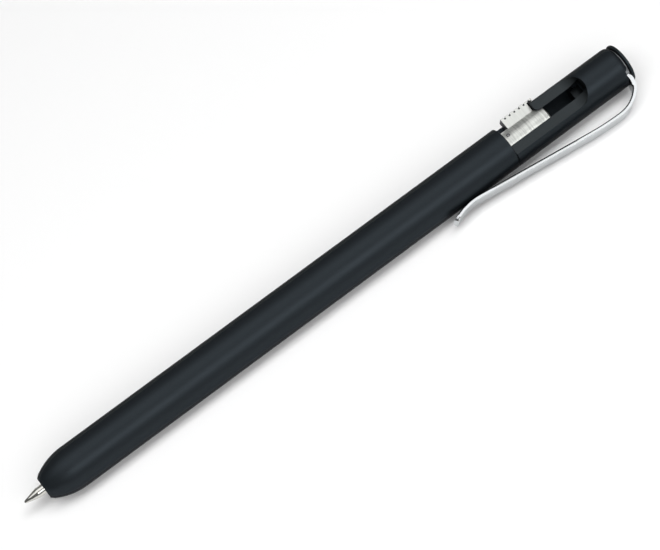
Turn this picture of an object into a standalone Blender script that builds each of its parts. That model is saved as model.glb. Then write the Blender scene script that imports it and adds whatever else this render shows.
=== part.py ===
"""Bolt action ballpoint pen, modelled upright with its cap end up and then laid down on barrel and clip.

Run with: blender --background --python part.py, or from Blender's text editor.

Lengths are in metres. The origin is the middle of the cap's flat end face and the pen's axis lies along X,
with the cap at +X. Each piece is first drawn upright, as if it stood on its nose: Z runs up the pen's axis,
the cap's end face is at height 0 and the clip points to +X. One empty carries all the pieces and lays the
pen down, so that it rests on the barrel and on the edge of the clip, as it does on a desk.

The ball point is out and the thumb tab is turned into its side notch, which locks it.
"""

import math

import bmesh
import bpy
from mathutils import Matrix

MM = 0.001

# Clearances between pieces
FIT_GAP = 0.10 * MM
RUNNING_GAP = 0.10 * MM
SEAT_GAP = 0.10 * MM

# Barrel, made in a long front half and a short rear half
BARREL_DIAMETER = 9.0 * MM
FRONT_LENGTH = 111.9 * MM
REAR_LENGTH = 28.35 * MM
SEAM_GAP = 0.10 * MM
SEAM_CHAMFER = 0.12 * MM
NOSE_FACE_DIAMETER = 4.8 * MM
NOSE_CURVE_LENGTH = 7.0 * MM
NOSE_EDGE = 0.2 * MM
NOSE_HOLE_DIAMETER = 2.5 * MM
SPRING_SEAT_DEPTH = 1.6 * MM
SPRING_POCKET_DIAMETER = 5.0 * MM
FRONT_BORE_DIAMETER = 6.3 * MM
NECK_DIAMETER = 7.3 * MM
NECK_LENGTH = 7.5 * MM
NECK_RELIEF_WIDTH = 0.9 * MM
NECK_RELIEF_DEPTH = 0.2 * MM
NECK_CHAMFER = 0.25 * MM
COUNTERBORE_SPARE = 0.3 * MM

# Rear barrel's end, where the clip is held
END_ROUND_HEIGHT = 1.15 * MM
END_ROUND_DEPTH = 0.6 * MM
BOLT_BORE_DEPTH = 17.4 * MM
DRILL_POINT_DEG = 118.0
STUD_HOLE_DEPTH = 5.2 * MM

# Window for the thumb tab: a milled flat, a slot along it and a notch to one side at its front
FLAT_HEIGHT = 2.8 * MM
FLAT_MILL_DIAMETER = 8.26 * MM
WINDOW_LENGTH = 19.4 * MM
SLOT_WIDTH = 2.7 * MM
SLOT_FLOOR_HEIGHT = 0.6 * MM
SLOT_END_LAND = 0.15 * MM
NOTCH_LENGTH = 8.8 * MM
RAIL_CORNER_RADIUS = 1.0 * MM
WINDOW_RUNOUT = 0.10 * MM
SLOT_FROM_CLIP_DEG = 95.5
TURN_DEG = 83.5

# Bolt and thumb tab
BOLT_DIAMETER = 5.9 * MM
BOLT_CHAMFER = 0.3 * MM
BOLT_TAIL = 1.7 * MM
PUSH_TRAVEL = 2.2 * MM
TAB_FRONT_CLEARANCE = 0.2 * MM
TAB_REAR_CLEARANCE = 0.15 * MM
TAB_WIDTH = 2.4 * MM
TAB_TOP_RADIUS = 5.1 * MM
TAB_OVERHANG = 1.35 * MM
TAB_SHANK_DEPTH = 1.35 * MM
GROOVE_COUNT = 6
GROOVE_PITCH = 1.17 * MM
GROOVE_WIDTH = 0.5 * MM
GROOVE_DEPTH = 0.26 * MM
FIRST_GROOVE = 0.9 * MM

# Clip, bent from one strip with a ring at its root
CLIP_THICKNESS = 0.78 * MM
CLIP_WIDTH = 3.8 * MM
CLIP_EDGE = 0.12 * MM
CLIP_RING_DIAMETER = 7.3 * MM
CLIP_RING_PROUD = 0.3 * MM
CLIP_ROOT_REACH = 3.8 * MM
CLIP_ROOT_BEND_RADIUS = 4.2 * MM
CLIP_TOP_BEND_RADIUS = 8.0 * MM
CLIP_BACK_RADIUS = 60.0 * MM
CLIP_ROOT_BEND_DEG = 45.0
CLIP_REACH = 41.5 * MM
CLIP_CONTACT_GAP = 0.15 * MM
CLIP_TOE_RADIUS = 12.0 * MM
CLIP_TOE_DEG = 27.5
CLIP_TOE_CORNER = 1.2 * MM
CLIP_NOTCH_WIDTH = 6.9 * MM
CLIP_NOTCH_DEPTH = 0.75 * MM

# End cap, a thin disc on a stud
CAP_DIAMETER = 8.7 * MM
CAP_THICKNESS = 0.6 * MM
CAP_CHAMFER = 0.12 * MM
STUD_DIAMETER = 3.8 * MM
STUD_LENGTH = 5.5 * MM
STUD_CHAMFER = 0.3 * MM

# Refill, of the common long metal kind
REFILL_LENGTH = 98.1 * MM
TIP_PROTRUSION = 4.5 * MM
REFILL_DIAMETER = 5.9 * MM
REFILL_WALL = 0.45 * MM
BALL_DIAMETER = 0.8 * MM
BALL_PLAY = 0.05 * MM
BALL_SHOWING = 0.26 * MM
TIP_RIM_WALL = 0.12 * MM
TIP_CONE_LENGTH = 2.85 * MM
TIP_DIAMETER = 2.1 * MM
TIP_SHANK_DIAMETER = 1.7 * MM
TIP_SHANK_LENGTH = 2.5 * MM
INK_CHANNEL_DIAMETER = 0.5 * MM
NECK_PIECE_DIAMETER = 3.3 * MM
NECK_PIECE_LENGTH = 4.2 * MM
FLANGE_THICKNESS = 0.5 * MM
SPIGOT_LENGTH = 3.0 * MM
PLUG_FLANGE = 1.0 * MM
VENT_DIAMETER = 1.0 * MM

# Return spring round the refill's neck
WIRE_DIAMETER = 0.4 * MM
COIL_MEAN_DIAMETER = 4.0 * MM
COIL_TURNS = 6

# Mesh fineness
BARREL_STEPS = 64
BOLT_STEPS = 48
SMALL_STEPS = 32
BALL_STEPS = 16
CURVE_STEPS = 10
SHORT_CURVE_STEPS = 5
COIL_STEPS = 12
MERGE = 0.001 * MM
OVERRUN = 1.0 * MM
SMOOTH_DEG = 30.0
EASED_CORNER_DEG = 60.0

# Radii worked out from the diameters above
BARREL_RADIUS = BARREL_DIAMETER / 2
BOLT_RADIUS = BOLT_DIAMETER / 2
BORE_RADIUS = BOLT_RADIUS + RUNNING_GAP
REFILL_RADIUS = REFILL_DIAMETER / 2
REFILL_BORE_RADIUS = REFILL_RADIUS - REFILL_WALL
SPIGOT_RADIUS = REFILL_BORE_RADIUS - FIT_GAP
NECK_RADIUS = NECK_DIAMETER / 2
STUD_RADIUS = STUD_DIAMETER / 2
STUD_HOLE_RADIUS = STUD_RADIUS + FIT_GAP
CLIP_RING_RADIUS = CLIP_RING_DIAMETER / 2

# Heights up the pen's axis, from the cap's end face down to the nose
CLIP_RING_TOP = -CAP_THICKNESS - SEAT_GAP
REAR_TOP = CLIP_RING_TOP - CLIP_RING_PROUD
CLIP_RECESS_FLOOR = CLIP_RING_TOP - CLIP_THICKNESS - SEAT_GAP
SEAM = REAR_TOP - REAR_LENGTH
FRONT_TOP = SEAM - SEAM_GAP
NOSE = FRONT_TOP - FRONT_LENGTH

# Heights of the refill and of what moves with it
BALL_TIP = NOSE - TIP_PROTRUSION
REFILL_TOP = BALL_TIP + REFILL_LENGTH
TIP_RIM = BALL_TIP + BALL_SHOWING
SPRING_SEAT = NOSE + SPRING_SEAT_DEPTH
NECK_PIECE_FRONT = SPRING_SEAT + PUSH_TRAVEL + SEAT_GAP
FLANGE_FRONT = NECK_PIECE_FRONT + NECK_PIECE_LENGTH
TUBE_FRONT = FLANGE_FRONT + FLANGE_THICKNESS + SEAT_GAP
TUBE_TOP = REFILL_TOP - PLUG_FLANGE - SEAT_GAP
MAIN_BORE_FRONT = FLANGE_FRONT - PUSH_TRAVEL - COUNTERBORE_SPARE

# Heights of the window, the bolt and its thumb tab
WINDOW_FRONT = SEAM - WINDOW_RUNOUT
WINDOW_TOP = SEAM + WINDOW_LENGTH
NOTCH_TOP = SEAM + NOTCH_LENGTH
TAB_FRONT = SEAM + PUSH_TRAVEL + TAB_FRONT_CLEARANCE
TAB_REAR = NOTCH_TOP - TAB_REAR_CLEARANCE
BOLT_FRONT = REFILL_TOP + SEAT_GAP
BOLT_TOP = TAB_REAR + BOLT_TAIL

# Directions round the axis, counted from the clip
CLIP_AZIMUTH = 0.0
SLOT_AZIMUTH = -math.radians(SLOT_FROM_CLIP_DEG)
TAB_AZIMUTH = SLOT_AZIMUTH - math.radians(TURN_DEG)


def clear_scene():
    """Removes what the file opened with."""
    for old in list(bpy.data.objects):
        bpy.data.objects.remove(old, do_unlink=True)


def add_collection(name):
    """A collection under the scene's own."""
    collection = bpy.data.collections.new(name)
    bpy.context.scene.collection.children.link(collection)
    return collection


def add_material(name, color, roughness, metallic):
    """A plain Principled finish: colour, roughness and metallic value."""
    material = bpy.data.materials.new(name)
    material.use_nodes = True
    shader = material.node_tree.nodes["Principled BSDF"]
    shader.inputs["Base Color"].default_value = (*color, 1.0)
    shader.inputs["Roughness"].default_value = roughness
    shader.inputs["Metallic"].default_value = metallic
    material.diffuse_color = (*color, 1.0)
    return material


def add_object(name, data, collection, axis):
    """An object in a collection, carried by the empty on the pen's axis."""
    item = bpy.data.objects.new(name, data)
    collection.objects.link(item)
    item.parent = axis
    return item


def radial_frame(azimuth):
    """Plan view of one side: X runs up the axis, Y clockwise round it and Z straight out of the barrel."""
    out = (math.cos(azimuth), math.sin(azimuth), 0.0)
    across = (math.sin(azimuth), -math.cos(azimuth), 0.0)
    return Matrix(((0.0, across[0], out[0]), (0.0, across[1], out[1]), (1.0, 0.0, 0.0))).to_euler()


def side_frame(azimuth):
    """Side view: X runs up the axis, Y straight out of the barrel and Z across."""
    out = (math.cos(azimuth), math.sin(azimuth), 0.0)
    across = (-math.sin(azimuth), math.cos(azimuth), 0.0)
    return Matrix(((0.0, out[0], across[0]), (0.0, out[1], across[1]), (1.0, 0.0, 0.0))).to_euler()


def arc_points(centre, size, first, last, steps):
    """Points on a round or oval stretch, from one angle to another; the size is one or two radii."""
    wide, high = size if isinstance(size, tuple) else (size, size)
    turns = [first + (last - first) * step / steps for step in range(steps + 1)]
    return [(centre[0] + wide * math.cos(turn), centre[1] + high * math.sin(turn)) for turn in turns]


def turned(name, profile, steps, collection, axis, closed=True):
    """A solid turned about the axis. The profile's (radius, height) points run down its outer side."""
    mesh = bpy.data.meshes.new(name)
    bm = bmesh.new()
    points = [bm.verts.new((radius, 0.0, height)) for radius, height in profile]
    for upper, lower in zip(points, points[1:]):
        bm.edges.new((upper, lower))
    if closed:
        bm.edges.new((points[-1], points[0]))
    bm.to_mesh(mesh)
    bm.free()
    item = add_object(name, mesh, collection, axis)
    screw = item.modifiers.new("Turn", "SCREW")
    screw.steps = steps
    screw.render_steps = steps
    screw.use_merge_vertices = True
    screw.merge_threshold = MERGE
    return item


def prism(name, outline, low, high, collection, axis):
    """A straight-sided solid: a flat outline drawn from one level to another."""
    mesh = bpy.data.meshes.new(name)
    bm = bmesh.new()
    face = bm.faces.new([bm.verts.new((x, y, low)) for x, y in outline])
    drawn = bmesh.ops.extrude_face_region(bm, geom=[face])
    raised = [item for item in drawn["geom"] if isinstance(item, bmesh.types.BMVert)]
    bmesh.ops.translate(bm, vec=(0.0, 0.0, high - low), verts=raised)
    bmesh.ops.recalc_face_normals(bm, faces=bm.faces)
    bm.to_mesh(mesh)
    bm.free()
    return add_object(name, mesh, collection, axis)


def cut(item, cutter):
    """Takes a cutter's shape out of a solid."""
    cutter.hide_render = True
    cutter.display_type = "WIRE"
    boolean = item.modifiers.new(cutter.name, "BOOLEAN")
    boolean.operation = "DIFFERENCE"
    boolean.solver = "EXACT"
    boolean.object = cutter


def rectangle(left, right, bottom, top):
    """The corners of an upright rectangle."""
    return [(left, bottom), (right, bottom), (right, top), (left, top)]


def front_barrel(parts, axis):
    """Long front half: a curved nose, a bore for the refill and a counterbore for the rear half's neck."""
    face_radius = NOSE_FACE_DIAMETER / 2
    drop = BARREL_RADIUS - face_radius
    curve_radius = (NOSE_CURVE_LENGTH ** 2 + drop ** 2) / (2 * drop)
    curve_turn = math.asin(NOSE_CURVE_LENGTH / curve_radius)
    centre = (BARREL_RADIUS - curve_radius, NOSE + NOSE_CURVE_LENGTH)
    nose_curve = arc_points(centre, curve_radius, 0.0, -curve_turn, CURVE_STEPS)
    nose_curve[-1] = (face_radius, NOSE + NOSE_EDGE)
    neck_room = NECK_RADIUS + FIT_GAP
    counterbore_floor = SEAM - NECK_LENGTH - COUNTERBORE_SPARE
    bore = FRONT_BORE_DIAMETER / 2
    pocket = SPRING_POCKET_DIAMETER / 2
    hole = NOSE_HOLE_DIAMETER / 2
    profile = [
        (neck_room + SEAM_CHAMFER, FRONT_TOP),
        (BARREL_RADIUS - SEAM_CHAMFER, FRONT_TOP),
        (BARREL_RADIUS, FRONT_TOP - SEAM_CHAMFER),
        *nose_curve,
        (face_radius - NOSE_EDGE, NOSE),
        (hole + NOSE_EDGE, NOSE),
        (hole, NOSE + NOSE_EDGE),
        (hole, SPRING_SEAT),
        (pocket, SPRING_SEAT),
        (pocket, MAIN_BORE_FRONT),
        (bore, MAIN_BORE_FRONT),
        (bore, counterbore_floor),
        (neck_room, counterbore_floor),
        (neck_room, FRONT_TOP - SEAM_CHAMFER),
    ]
    return turned("front_barrel", profile, BARREL_STEPS, parts, axis)


def window_cutters(cutters, axis):
    """The milled flat, its slot, the side notch and the rounded corner of the rail between them."""
    mill = FLAT_MILL_DIAMETER / 2
    mill_stop = WINDOW_TOP - mill
    outside = BARREL_RADIUS + OVERRUN
    outline = [(WINDOW_FRONT, mill), (WINDOW_FRONT, -mill)]
    outline += arc_points((mill_stop, 0.0), mill, -math.pi / 2, math.pi / 2, 2 * CURVE_STEPS)
    flat = prism("flat_cutter", outline, FLAT_HEIGHT, outside, cutters, axis)

    half = SLOT_WIDTH / 2
    slot_top = mill_stop + math.sqrt(mill ** 2 - half ** 2) - SLOT_END_LAND
    outline = rectangle(WINDOW_FRONT, slot_top, -half, half)
    slot = prism("slot_cutter", outline, SLOT_FLOOR_HEIGHT, outside, cutters, axis)

    centre = (NOTCH_TOP + RAIL_CORNER_RADIUS, half + RAIL_CORNER_RADIUS)
    inner = half - SLOT_END_LAND
    outline = [(NOTCH_TOP - RUNNING_GAP, centre[1]), (NOTCH_TOP - RUNNING_GAP, inner), (centre[0], inner)]
    outline += arc_points(centre, RAIL_CORNER_RADIUS, -math.pi / 2, -math.pi, CURVE_STEPS)
    corner = prism("rail_corner_cutter", outline, SLOT_FLOOR_HEIGHT, outside, cutters, axis)
    for cutter in (flat, slot, corner):
        cutter.rotation_euler = radial_frame(SLOT_AZIMUTH)

    reach = BARREL_DIAMETER
    slot_out = (math.cos(SLOT_AZIMUTH), math.sin(SLOT_AZIMUTH))
    tab_out = (math.cos(TAB_AZIMUTH), math.sin(TAB_AZIMUTH))
    beyond = (math.sin(TAB_AZIMUTH) * half, -math.cos(TAB_AZIMUTH) * half)
    outline = [
        (0.0, 0.0),
        (slot_out[0] * reach, slot_out[1] * reach),
        ((slot_out[0] + tab_out[0]) * reach, (slot_out[1] + tab_out[1]) * reach),
        (tab_out[0] * reach + beyond[0], tab_out[1] * reach + beyond[1]),
        beyond,
    ]
    notch = prism("notch_cutter", outline, WINDOW_FRONT, NOTCH_TOP, cutters, axis)
    return flat, slot, notch, corner


def clip_notch_cutter(cutters, axis):
    """The gap in the rear barrel's rim that lets the clip's strip out."""
    half = CLIP_NOTCH_WIDTH / 2
    outline = rectangle(REAR_TOP - CLIP_NOTCH_DEPTH, REAR_TOP + OVERRUN, -half, half)
    inside = math.sqrt((CLIP_RING_RADIUS + FIT_GAP) ** 2 - half ** 2) - FIT_GAP
    cutter = prism("clip_notch_cutter", outline, inside, BARREL_RADIUS + OVERRUN, cutters, axis)
    cutter.rotation_euler = radial_frame(CLIP_AZIMUTH)
    return cutter


def rear_barrel(parts, cutters, axis):
    """Short rear half: a neck that screws into the front half, a blind bore for the bolt, and the window."""
    bore_top = SEAM + BOLT_BORE_DEPTH
    drill_point = BORE_RADIUS / math.tan(math.radians(DRILL_POINT_DEG / 2))
    recess = CLIP_RING_RADIUS + FIT_GAP
    neck_front = SEAM - NECK_LENGTH
    relief_end = SEAM - NECK_RELIEF_WIDTH
    relief = NECK_RADIUS - NECK_RELIEF_DEPTH
    centre = (BARREL_RADIUS - END_ROUND_DEPTH, REAR_TOP - END_ROUND_HEIGHT)
    rounding = arc_points(centre, (END_ROUND_DEPTH, END_ROUND_HEIGHT), math.pi / 2, 0.0, CURVE_STEPS)
    outside = [
        *rounding,
        (BARREL_RADIUS, SEAM + SEAM_CHAMFER),
        (BARREL_RADIUS - SEAM_CHAMFER, SEAM),
        (relief, SEAM),
        (relief, relief_end),
        (NECK_RADIUS, relief_end - NECK_RELIEF_DEPTH),
        (NECK_RADIUS, neck_front + NECK_CHAMFER),
        (NECK_RADIUS - NECK_CHAMFER, neck_front),
        (BORE_RADIUS, neck_front),
    ]
    blank = turned("rear_barrel", [
        (0.0, CLIP_RECESS_FLOOR),
        (recess, CLIP_RECESS_FLOOR),
        (recess, REAR_TOP),
        *outside,
        (BORE_RADIUS, bore_top),
        (0.0, bore_top + drill_point),
    ], BARREL_STEPS, parts, axis, closed=False)
    stud_hole = turned("stud_hole_cutter", [
        (0.0, CLIP_RECESS_FLOOR + OVERRUN),
        (STUD_HOLE_RADIUS, CLIP_RECESS_FLOOR + OVERRUN),
        (STUD_HOLE_RADIUS, CLIP_RECESS_FLOOR - STUD_HOLE_DEPTH),
        (0.0, CLIP_RECESS_FLOOR - STUD_HOLE_DEPTH),
    ], SMALL_STEPS, cutters, axis, closed=False)
    cut(blank, stud_hole)
    for cutter in window_cutters(cutters, axis):
        cut(blank, cutter)
    cut(blank, clip_notch_cutter(cutters, axis))
    return blank


def advance(place, heading, length, turn):
    """Where a path gets to after a stretch of one curvature, and where it then points."""
    if turn == 0.0:
        end = (place[0] + length * math.cos(heading), place[1] + length * math.sin(heading))
        return end, heading
    radius = length / turn
    after = heading + turn
    end = (
        place[0] + radius * (math.sin(after) - math.sin(heading)),
        place[1] - radius * (math.cos(after) - math.cos(heading)),
    )
    return end, after


def clip_runs():
    """The clip's strip, down its middle: (length, turn, steps) of each stretch, from the ring to the toe.

    The strip leaves the ring straight out, bends over in two radii, runs down in a slight bow and a
    straight, and turns up at the toe. The straight's slope is the one that brings the toe's bend to the
    barrel.
    """
    half = CLIP_THICKNESS / 2
    root_turn = math.radians(CLIP_ROOT_BEND_DEG)
    top_turn = math.pi / 2 - root_turn
    root_radius = CLIP_ROOT_BEND_RADIUS - half
    top_radius = CLIP_TOP_BEND_RADIUS - half
    ring_middle = CLIP_RING_TOP - half
    start = (-CLIP_RING_RADIUS * math.cos(math.pi / SMALL_STEPS), ring_middle)
    crest, heading = advance((CLIP_ROOT_REACH, ring_middle), 0.0, root_radius * root_turn, -root_turn)
    crest, heading = advance(crest, heading, top_radius * top_turn, -top_turn)
    contact = BARREL_RADIUS + CLIP_CONTACT_GAP + half
    run = crest[1] + CLIP_REACH
    drop = crest[0] - contact
    radii = CLIP_BACK_RADIUS + CLIP_TOE_RADIUS
    straight = math.sqrt(run ** 2 + (radii - drop) ** 2 - radii ** 2)
    slope = math.atan2(radii, straight) - math.atan2(radii - drop, run)
    toe_turn = slope + math.radians(CLIP_TOE_DEG)
    return start, [
        (CLIP_ROOT_REACH - start[0], 0.0, 1),
        (root_radius * root_turn, -root_turn, CURVE_STEPS),
        (top_radius * top_turn, -top_turn, CURVE_STEPS),
        (CLIP_BACK_RADIUS * slope, -slope, SHORT_CURVE_STEPS),
        (straight, 0.0, 1),
        (CLIP_TOE_RADIUS * toe_turn, toe_turn, CURVE_STEPS),
    ]


def clip_point(start, runs, distance):
    """The middle of the strip at a distance along it."""
    place, heading = start, 0.0
    for length, turn, _ in runs:
        share = min(distance / length, 1.0)
        place, heading = advance(place, heading, length * share, turn * share)
        distance -= length
        if distance <= 0.0:
            break
    return place


def clip_stations(runs):
    """Pairs of distance along the strip and half its width there: a round ring, the strip, a rounded toe."""
    half = CLIP_WIDTH / 2
    start_turn = math.pi / SMALL_STEPS
    end_turn = math.pi - math.asin(half / CLIP_RING_RADIUS)
    ring = arc_points((0.0, 0.0), CLIP_RING_RADIUS, math.pi - start_turn, math.pi - end_turn, CURVE_STEPS)
    stations = [(x - ring[0][0], y) for x, y in ring]
    distance = 0.0
    for length, _, steps in runs:
        stations += [(distance + length * step / steps, half) for step in range(1, steps + 1)]
        distance += length
    corner_start = distance - CLIP_TOE_CORNER
    stations = [station for station in stations if station[0] < corner_start - MERGE]
    centre = (corner_start, half - CLIP_TOE_CORNER)
    return stations + arc_points(centre, CLIP_TOE_CORNER, math.pi / 2, 0.0, SHORT_CURVE_STEPS)


def pocket_clip(parts, cutters, axis):
    """Clip bent from one strip: a ribbon down the strip's middle, thickened, with its edges eased."""
    start, runs = clip_runs()
    mesh = bpy.data.meshes.new("pocket_clip")
    bm = bmesh.new()
    rows = []
    for distance, half in clip_stations(runs):
        x, z = clip_point(start, runs, distance)
        rows.append((bm.verts.new((x, -half, z)), bm.verts.new((x, half, z))))
    for near, far in zip(rows, rows[1:]):
        bm.faces.new((near[0], far[0], far[1], near[1]))
    bm.to_mesh(mesh)
    bm.free()
    clip = add_object("pocket_clip", mesh, parts, axis)
    thicken = clip.modifiers.new("Thickness", "SOLIDIFY")
    thicken.thickness = CLIP_THICKNESS
    thicken.offset = 0.0
    thicken.use_even_offset = True
    hole = turned("clip_hole_cutter", [
        (0.0, CLIP_RING_TOP + OVERRUN),
        (STUD_HOLE_RADIUS, CLIP_RING_TOP + OVERRUN),
        (STUD_HOLE_RADIUS, CLIP_RING_TOP - CLIP_THICKNESS - OVERRUN),
        (0.0, CLIP_RING_TOP - CLIP_THICKNESS - OVERRUN),
    ], SMALL_STEPS, cutters, axis, closed=False)
    cut(clip, hole)
    ease = clip.modifiers.new("Edges", "BEVEL")
    ease.width = CLIP_EDGE
    ease.segments = 2
    ease.limit_method = "ANGLE"
    ease.angle_limit = math.radians(EASED_CORNER_DEG)
    return clip


def end_cap(parts, axis):
    """Thin disc on a stud that goes through the clip's ring into the rear barrel."""
    rim = CAP_DIAMETER / 2
    stud_end = -CAP_THICKNESS - STUD_LENGTH
    return turned("end_cap", [
        (0.0, 0.0),
        (rim - CAP_CHAMFER, 0.0),
        (rim, -CAP_CHAMFER),
        (rim, CAP_CHAMFER - CAP_THICKNESS),
        (rim - CAP_CHAMFER, -CAP_THICKNESS),
        (STUD_RADIUS, -CAP_THICKNESS),
        (STUD_RADIUS, stud_end + STUD_CHAMFER),
        (STUD_RADIUS - STUD_CHAMFER, stud_end),
        (0.0, stud_end),
    ], BARREL_STEPS, parts, axis, closed=False)


def bolt(parts, cutters, axis):
    """Solid rod between the refill and the window, with a pocket that holds the thumb tab's shank."""
    rod = turned("bolt", [
        (0.0, BOLT_TOP),
        (BOLT_RADIUS - BOLT_CHAMFER, BOLT_TOP),
        (BOLT_RADIUS, BOLT_TOP - BOLT_CHAMFER),
        (BOLT_RADIUS, BOLT_FRONT + BOLT_CHAMFER),
        (BOLT_RADIUS - BOLT_CHAMFER, BOLT_FRONT),
        (0.0, BOLT_FRONT),
    ], BOLT_STEPS, parts, axis, closed=False)
    half = TAB_WIDTH / 2 + FIT_GAP
    outline = rectangle(TAB_FRONT - FIT_GAP, TAB_REAR + FIT_GAP, -half, half)
    floor = BOLT_RADIUS - TAB_SHANK_DEPTH - SEAT_GAP
    pocket = prism("tab_pocket_cutter", outline, floor, BOLT_RADIUS + OVERRUN, cutters, axis)
    pocket.rotation_euler = radial_frame(TAB_AZIMUTH)
    cut(rod, pocket)
    return rod


def thumb_tab(parts, axis):
    """Thumb tab, a side view drawn across its width: shank, overhanging top and cross grooves."""
    overhang_base = BARREL_RADIUS + RUNNING_GAP
    top_rear = TAB_REAR + TAB_OVERHANG
    outline = [
        (TAB_FRONT, BOLT_RADIUS - TAB_SHANK_DEPTH),
        (TAB_REAR, BOLT_RADIUS - TAB_SHANK_DEPTH),
        (TAB_REAR, overhang_base),
        (top_rear, overhang_base),
        (top_rear, TAB_TOP_RADIUS),
    ]
    for number in reversed(range(GROOVE_COUNT)):
        middle = TAB_FRONT + FIRST_GROOVE + number * GROOVE_PITCH
        outline.append((middle + GROOVE_WIDTH / 2, TAB_TOP_RADIUS))
        outline.append((middle, TAB_TOP_RADIUS - GROOVE_DEPTH))
        outline.append((middle - GROOVE_WIDTH / 2, TAB_TOP_RADIUS))
    outline.append((TAB_FRONT, TAB_TOP_RADIUS))
    tab = prism("thumb_tab", outline, -TAB_WIDTH / 2, TAB_WIDTH / 2, parts, axis)
    tab.rotation_euler = side_frame(TAB_AZIMUTH)
    return tab


def refill_tip(parts, axis):
    """Writing tip: a cone with the ball's socket, a cylinder, and a shank in the neck piece."""
    socket = BALL_DIAMETER / 2 + BALL_PLAY
    socket_depth = BALL_DIAMETER - BALL_SHOWING + BALL_PLAY
    channel = INK_CHANNEL_DIAMETER / 2
    cone_top = TIP_RIM + TIP_CONE_LENGTH
    shank = TIP_SHANK_DIAMETER / 2
    shank_top = NECK_PIECE_FRONT + TIP_SHANK_LENGTH
    shoulder = NECK_PIECE_FRONT - SEAT_GAP
    return turned("refill_tip", [
        (channel, shank_top),
        (shank, shank_top),
        (shank, shoulder),
        (TIP_DIAMETER / 2, shoulder),
        (TIP_DIAMETER / 2, cone_top),
        (socket + TIP_RIM_WALL, TIP_RIM),
        (socket, TIP_RIM),
        (socket, TIP_RIM + socket_depth),
        (channel, TIP_RIM + socket_depth),
    ], SMALL_STEPS, parts, axis)


def writing_ball(parts, axis):
    """The ball that writes, loose in its socket."""
    mesh = bpy.data.meshes.new("writing_ball")
    bm = bmesh.new()
    bmesh.ops.create_uvsphere(bm, u_segments=BALL_STEPS, v_segments=CURVE_STEPS, radius=BALL_DIAMETER / 2)
    bm.to_mesh(mesh)
    bm.free()
    ball = add_object("writing_ball", mesh, parts, axis)
    ball.location = (0.0, 0.0, BALL_TIP + BALL_DIAMETER / 2)
    return ball


def refill_neck(parts, axis):
    """Neck piece that joins the tip to the tube; the spring bears on its flange."""
    tip_socket = TIP_SHANK_DIAMETER / 2 + FIT_GAP
    socket_top = NECK_PIECE_FRONT + TIP_SHANK_LENGTH + SEAT_GAP
    channel = INK_CHANNEL_DIAMETER / 2
    spigot_top = TUBE_FRONT + SPIGOT_LENGTH
    flange_top = FLANGE_FRONT + FLANGE_THICKNESS
    return turned("refill_neck", [
        (channel, spigot_top),
        (SPIGOT_RADIUS, spigot_top),
        (SPIGOT_RADIUS, flange_top),
        (REFILL_RADIUS, flange_top),
        (REFILL_RADIUS, FLANGE_FRONT),
        (NECK_PIECE_DIAMETER / 2, FLANGE_FRONT),
        (NECK_PIECE_DIAMETER / 2, NECK_PIECE_FRONT),
        (tip_socket, NECK_PIECE_FRONT),
        (tip_socket, socket_top),
        (channel, socket_top),
    ], SMALL_STEPS, parts, axis)


def refill_tube(parts, axis):
    """Long metal tube that holds the ink."""
    return turned("refill_tube", [
        (REFILL_BORE_RADIUS, TUBE_TOP),
        (REFILL_RADIUS, TUBE_TOP),
        (REFILL_RADIUS, TUBE_FRONT),
        (REFILL_BORE_RADIUS, TUBE_FRONT),
    ], BOLT_STEPS, parts, axis)


def refill_plug(parts, axis):
    """Vented plug in the tube's rear end, which the bolt pushes on."""
    vent = VENT_DIAMETER / 2
    flange = REFILL_TOP - PLUG_FLANGE
    plug_front = TUBE_TOP - SPIGOT_LENGTH
    return turned("refill_plug", [
        (vent, REFILL_TOP),
        (REFILL_RADIUS, REFILL_TOP),
        (REFILL_RADIUS, flange),
        (SPIGOT_RADIUS, flange),
        (SPIGOT_RADIUS, plug_front),
        (vent, plug_front),
    ], SMALL_STEPS, parts, axis)


def return_spring(parts, axis):
    """Open wire coil between the nose's seat and the refill's flange."""
    low = SPRING_SEAT + SEAT_GAP + WIRE_DIAMETER / 2
    high = FLANGE_FRONT - SEAT_GAP - WIRE_DIAMETER / 2
    curve = bpy.data.curves.new("return_spring", "CURVE")
    curve.dimensions = "3D"
    curve.bevel_depth = WIRE_DIAMETER / 2
    curve.bevel_resolution = 1
    curve.use_fill_caps = True
    spline = curve.splines.new("POLY")
    count = COIL_TURNS * COIL_STEPS + 1
    spline.points.add(count - 1)
    for number, point in enumerate(spline.points):
        turn = math.tau * number / COIL_STEPS
        height = low + (high - low) * number / (count - 1)
        x = COIL_MEAN_DIAMETER / 2 * math.cos(turn)
        y = COIL_MEAN_DIAMETER / 2 * math.sin(turn)
        point.co = (x, y, height, 1.0)
    return add_object("return_spring", curve, parts, axis)


def lay_down(axis):
    """Lays the upright pen along X, turned so that barrel and clip edge both touch a level surface."""
    root_rise = (CLIP_ROOT_BEND_RADIUS - CLIP_THICKNESS / 2) * math.sin(math.radians(CLIP_ROOT_BEND_DEG))
    top_rise = (CLIP_TOP_BEND_RADIUS - CLIP_THICKNESS / 2) * (1 - math.sin(math.radians(CLIP_ROOT_BEND_DEG)))
    crest = CLIP_ROOT_REACH + root_rise + top_rise + CLIP_THICKNESS / 2
    edge = math.hypot(crest, CLIP_WIDTH / 2)
    below_level = math.asin(BARREL_RADIUS / edge) - math.atan2(CLIP_WIDTH / 2, crest)
    clip_turn = math.pi + below_level
    out = (0.0, math.cos(clip_turn), math.sin(clip_turn))
    across = (0.0, -math.sin(clip_turn), math.cos(clip_turn))
    rows = ((0.0, 0.0, 1.0), (out[1], across[1], 0.0), (out[2], across[2], 0.0))
    axis.rotation_euler = Matrix(rows).to_euler()
    return below_level


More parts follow.
